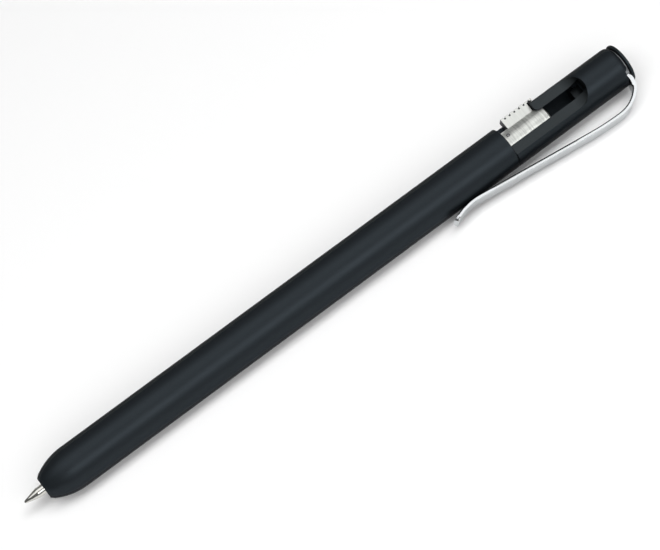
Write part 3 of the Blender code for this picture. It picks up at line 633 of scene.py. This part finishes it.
class PEN_OT_clip(bpy.types.Operator):
    """Dress the pocket clip in polished steel"""

    bl_idname = "pen.clip"
    bl_label = "Clip"
    bl_options = {"REGISTER", "UNDO"}

    def execute(self, context):
        finishes = context.scene.pen_finishes
        out, across = direction(CLIP_DEG), direction(CLIP_DEG - 90.0)
        slope = Matrix.Rotation(-math.radians(CLIP_SLOPE_DEG), 3, across).to_euler()
        # Nearly a mirror, whose reflections are drawn out a little by lines along the strip
        polished = metal("polished stainless steel strip", finishes.polished, roughness=0.14, spread=0.04,
                         grain=0.15, depth=0.003 * MM, stretch=(0.03, 1.0, 1.0), turn=slope, contrast=0.04)
        # A press shears the ring's rim off, which leaves it grey and dull, with marks round it
        blanked = metal("blanked stainless steel", finishes.blanked, roughness=0.5, spread=0.08, grain=0.2,
                        depth=0.01 * MM, stretch=(1.0, 0.1, 0.1))
        strip = modelled_skin("pocket_clip")
        arms = [item for item in strip.edges if item.calc_length() > LONGEST_STEP
                and abs((item.verts[1].co - item.verts[0].co).normalized().dot(across)) < FACING]
        bmesh.ops.subdivide_edges(strip, edges=arms, cuts=ARM_CUTS, use_grid_fill=True)
        strip.normal_update()
        self.flatten_edges(strip, out, across, context.scene.pen_sizes.clip_edge)
        for face in strip.faces:
            middle = face.calc_center_median()
            rim = abs(face.normal.x) < FACING and middle.x > RING_BASE and middle.dot(out) < RING_REACH
            face.material_index = 1 if rim else 0
        add_piece("clip_strip", strip, "pen_body", [polished, blanked], ["pocket_clip"])
        return {"FINISHED"}

    def flatten_edges(self, strip, out, across, edge):
        """Turns the small rounds on the strip's inner edges, past the root, into wide flat chamfers.

        A point on such a round goes where the chamfer has the same share of the turn from side to inner face.
        """
        facing = {}
        for face in strip.faces:
            inward = face.normal - across * face.normal.dot(across)
            if face.calc_center_median().x > ROOT_END or not LEAST_LEAN < inward.length < MOST_LEAN:
                continue
            inward.normalize()
            if inward.dot(out) < -FACING or inward.x < -FACING:
                for vert in face.verts:
                    facing[vert] = facing.get(vert, Vector()) + inward
        half = max(vert.co.dot(across) for vert in facing)
        for vert, inward in facing.items():
            height = vert.co.dot(across)
            if half - abs(height) > 2 * MODELLED_EDGE:
                continue
            level = max(0.0, min(1.0, 1.0 - (half - abs(height)) / MODELLED_EDGE))
            turned = math.acos(level) / (math.pi / 2)
            sunk = edge * (1.0 - turned) - MODELLED_EDGE * (1.0 - math.sqrt(1.0 - level ** 2))
            lowered = edge * turned - MODELLED_EDGE * (1.0 - level)
            vert.co -= across * math.copysign(lowered, height) + inward.normalized() * sunk


class PEN_OT_bolt(bpy.types.Operator):
    """Dress the bolt and its thumb tab, and set the small pin in front of the tab"""

    bl_idname = "pen.bolt"
    bl_label = "Bolt and tab"
    bl_options = {"REGISTER", "UNDO"}

    def execute(self, context):
        sizes, finishes = context.scene.pen_sizes, context.scene.pen_finishes
        edge = sizes.steel_edge
        # A lathe leaves bright rings with darker ones between them
        turned = metal("turned stainless steel", finishes.machined, roughness=0.46, spread=0.08, grain=0.6,
                       depth=0.03 * MM, stretch=(1.0, 0.12, 0.12), contrast=0.2)
        # An end mill leaves a bright, even satin with faint lines across
        milled = metal("milled stainless steel", finishes.machined, roughness=0.42, spread=0.06, grain=0.7,
                       depth=0.01 * MM, stretch=(1.0, 0.12, 0.12), contrast=0.08)
        # Dark, rough steel as a saw leaves it, painted as shade in the tab's grooves, pits and ends and round
        # the pin
        painted_shade_steel = metal("dark stainless steel painted as shade", finishes.painted_shade_steel, roughness=0.6, spread=0.05, grain=0.2,
                     depth=0.01 * MM, stretch=(1.0, 0.1, 0.1))
        # The pin keeps the dull skin of the rod that it was cut from
        pressed = metal("pressed steel pin", finishes.pressed, roughness=0.5, spread=0.05, grain=0.3,
                        depth=0.01 * MM)
        radius = sizes.pin_diameter / 2
        # A ring cut round the pin takes the dark steel, painted shade in the recess
        ring = bmesh.new()
        add_peg(ring, PIN_PLACE, PIN_DEG, BOLT_RADIUS + PIN_LENGTH, radius + PIN_RING,
                PIN_LENGTH + PIN_RING_DEPTH)
        rod = combined(eased_skin("bolt", edge), in_second_finish(ring), "DIFFERENCE")
        add_piece("bolt_rod", rod, "bolt", [turned, painted_shade_steel], ["bolt"])

        block = eased_skin("thumb_tab", edge)
        # The tab's faces that look along the pen, its ends and groove walls, take the dark steel of painted
        # shade
        for face in block.faces:
            face.material_index = 1 if abs(face.normal.x) > FACING else 0
        # Pits at the groove ends, cut in the dark steel, paint the grooves' shade as dark dots
        pits = bmesh.new()
        below_top = direction(TAB_DEG) * (TAB_TOP_RADIUS - PIT_HEIGHT)
        for side in (-90.0, 90.0):
            for step in range(PIT_COUNT):
                add_peg(pits, FIRST_PIT + step * PIT_PITCH, TAB_DEG + side, TAB_WIDTH, sizes.pit_diameter / 2,
                        TAB_WIDTH / 2 + PIT_DEPTH, below_top)
        block = combined(block, in_second_finish(pits), "DIFFERENCE")
        add_piece("tab_block", block, "bolt", [milled, painted_shade_steel], ["thumb_tab"])

        pin = bmesh.new()
        add_peg(pin, PIN_PLACE, PIN_DEG, BOLT_RADIUS + PIN_PROUD, radius, PIN_LENGTH)
        ease(pin, edge)
        add_piece("bolt_pin", pin, "bolt", [pressed])
        return {"FINISHED"}


class PEN_OT_refill(bpy.types.Operator):
    """Dress the writing tip and what lies inside the barrel"""

    bl_idname = "pen.refill"
    bl_label = "Refill"
    bl_options = {"REGISTER", "UNDO"}

    def execute(self, context):
        finishes = context.scene.pen_finishes
        # A shaped tool leaves the tip bright, with very fine rings
        nickel = metal("turned nickel silver", finishes.nickel, roughness=0.13, spread=0.03, grain=0.15,
                       depth=0.001 * MM, stretch=(1.0, 0.06, 0.06))
        # Ground all over, the ball is a darker grey with one small highlight
        carbide = metal("ground tungsten carbide", finishes.carbide, roughness=0.2, spread=0.05, grain=0.1,
                        depth=0.001 * MM)
        # Turned brass is warm and bright, with rings
        brass = metal("turned brass", finishes.brass, roughness=0.28, spread=0.06, grain=0.2,
                      depth=0.005 * MM, stretch=(1.0, 0.06, 0.06))
        # A drawn tube has its lines along it, under a thin plating
        plated = metal("drawn plated steel", finishes.plated, roughness=0.3, spread=0.06, grain=0.25,
                       depth=0.004 * MM, stretch=(0.05, 1.0, 1.0))
        # Drawn wire is grey, with a soft highlight along each turn of the coil
        wire = metal("drawn spring steel", finishes.wire, roughness=0.32, spread=0.06, grain=0.15,
                     depth=0.004 * MM)
        turns = [math.pi * row / BALL_ROWS for row in range(BALL_ROWS + 1)]
        ball = [(BALL_MIDDLE - BALL_RADIUS * math.cos(turn), BALL_RADIUS * math.sin(turn)) for turn in turns]
        add_piece("writing_tip", spun(TIP_PROFILE, TIP_STEPS), "refill", [nickel],
                  ["refill_tip"])
        add_piece("writing_point", spun(ball, BALL_STEPS), "refill", [carbide],
                  ["writing_ball"])
        dress_node("refill_neck", brass)
        dress_node("refill_tube", plated)
        add_piece("spring_coil", modelled_skin("return_spring"), "pen_body", [wire],
                  ["return_spring"], pressed=("refill", ALONG * SPRING_FRONT, ALONG * SPRING_REAR))
        dress_node("refill_plug", moulded_nylon("moulded grey nylon", finishes.nylon))
        return {"FINISHED"}


class PEN_OT_stage(bpy.types.Operator):
    """Set up the floor, the world, the lamps and the camera"""

    bl_idname = "pen.stage"
    bl_label = "Studio"
    bl_options = {"REGISTER", "UNDO"}

    def execute(self, context):
        scene = context.scene
        self.add_floor(scene)
        self.add_world(scene)
        for name, settings in SOFTBOXES.items():
            self.add_softbox(scene, name, *settings)
        self.add_camera(scene)
        scene.view_settings.view_transform = "Standard"
        return {"FINISHED"}

    def add_floor(self, scene):
        """A wide sheet of paper just under the pen."""
        bm = bmesh.new()
        bmesh.ops.create_grid(bm, x_segments=2, y_segments=2, size=scene.pen_sizes.floor_reach)
        bmesh.ops.translate(bm, verts=bm.verts, vec=(0.0, 0.0, cad_box[0].z))
        mesh = bpy.data.meshes.new("floor")
        bm.to_mesh(mesh)
        bm.free()
        mesh.materials.append(studio_paper("matt studio paper", scene.pen_finishes.floor))
        floor = bpy.data.objects.new("floor", mesh)
        scene.collection.objects.link(floor)

    def add_world(self, scene):
        """A pale room that is brighter towards the pen's cap."""
        world = bpy.data.worlds.new("pale studio")
        world.use_nodes = True
        tree = world.node_tree
        background = tree.nodes["Background"]
        background.inputs["Color"].default_value = (1.0, 1.0, 1.0, 1.0)
        place = add_node(tree, "ShaderNodeTexCoord")
        split = add_node(tree, "ShaderNodeSeparateXYZ", links={"Vector": place.outputs["Generated"]})
        fade = add_node(tree, "ShaderNodeMapRange", {"From Min": DARK_AT, "From Max": BRIGHT_AT,
                                                     "To Min": DARK_STRENGTH, "To Max": BRIGHT_STRENGTH},
                        {"Value": split.outputs["X"]})
        link_up(tree, background, {"Strength": fade.outputs["Result"]})
        scene.world = world

    def add_softbox(self, scene, name, angle_deg, shift, size, radiance, use):
        """A soft lamp above the pen, kept to lighting or to reflections."""
        lamp = bpy.data.lights.new(name, "AREA")
        lamp.shape = "RECTANGLE"
        lamp.size, lamp.size_y = size
        lamp.energy = radiance * math.pi * size[0] * size[1]
        item = bpy.data.objects.new(name, lamp)
        scene.collection.objects.link(item)
        item.visible_glossy = use != "lighting"
        item.visible_diffuse = use != "reflections"
        place = MIDDLE + direction(angle_deg) * LAMP_DISTANCE + ALONG * shift
        item.matrix_world = Matrix.Translation(place) @ radial_frame(angle_deg)

    def add_camera(self, scene):
        """A long lens above the pen, at the photograph's angle."""
        lens = bpy.data.cameras.new("camera")
        lens.sensor_width = SENSOR_WIDTH
        lens.lens = FOCAL_PIXELS / FRAME_WIDTH * SENSOR_WIDTH
        lens.clip_start, lens.clip_end = VIEW_START, VIEW_END
        camera = bpy.data.objects.new("camera", lens)
        scene.collection.objects.link(camera)
        lean, tilt = math.radians(CAMERA_LEAN_DEG), math.radians(CAMERA_TILT_DEG)
        back = direction(CAMERA_DEG) * math.cos(lean) - ALONG * math.sin(lean)
        aim = MIDDLE + direction(CAMERA_DEG - 90.0) * AIM_SHIFT
        shown = (ALONG - back * ALONG.dot(back)).normalized()
        across = back.cross(shown)
        right = shown * math.cos(tilt) - across * math.sin(tilt)
        up = shown * math.sin(tilt) + across * math.cos(tilt)
        turn = Matrix((right, up, back)).transposed().to_4x4()
        camera.matrix_world = Matrix.Translation(aim + back * CAMERA_DISTANCE) @ turn
        scene.camera = camera


class PEN_PT_panel(bpy.types.Panel):
    """Sidebar panel with the pen's pieces, sizes and colours"""

    bl_idname = "PEN_PT_panel"
    bl_label = "Bolt action pen"
    bl_space_type = "VIEW_3D"
    bl_region_type = "UI"
    bl_category = "Pen"

    def draw(self, context):
        for operator in OPERATORS:
            self.layout.operator(operator.bl_idname)
        for group in (context.scene.pen_sizes, context.scene.pen_finishes):
            for name in group.bl_rna.properties.keys():
                if name not in ("rna_type", "name"):
                    self.layout.prop(group, name)


OPERATORS = (PEN_OT_barrel, PEN_OT_end_cap, PEN_OT_clip, PEN_OT_bolt, PEN_OT_refill, PEN_OT_stage)
CLASSES = (PenSizes, PenFinishes, *OPERATORS, PEN_PT_panel)


def register():
    for entry in CLASSES:
        bpy.utils.register_class(entry)
    bpy.types.Scene.pen_sizes = bpy.props.PointerProperty(type=PenSizes)
    bpy.types.Scene.pen_finishes = bpy.props.PointerProperty(type=PenFinishes)


def unregister():
    del bpy.types.Scene.pen_finishes
    del bpy.types.Scene.pen_sizes
    for entry in reversed(CLASSES):
        bpy.utils.unregister_class(entry)


def main():
    register()
    bpy.ops.pen.barrel()
    bpy.ops.pen.end_cap()
    bpy.ops.pen.clip()
    bpy.ops.pen.bolt()
    bpy.ops.pen.refill()
    bpy.ops.pen.stage()


if __name__ == "__main__":
    main()
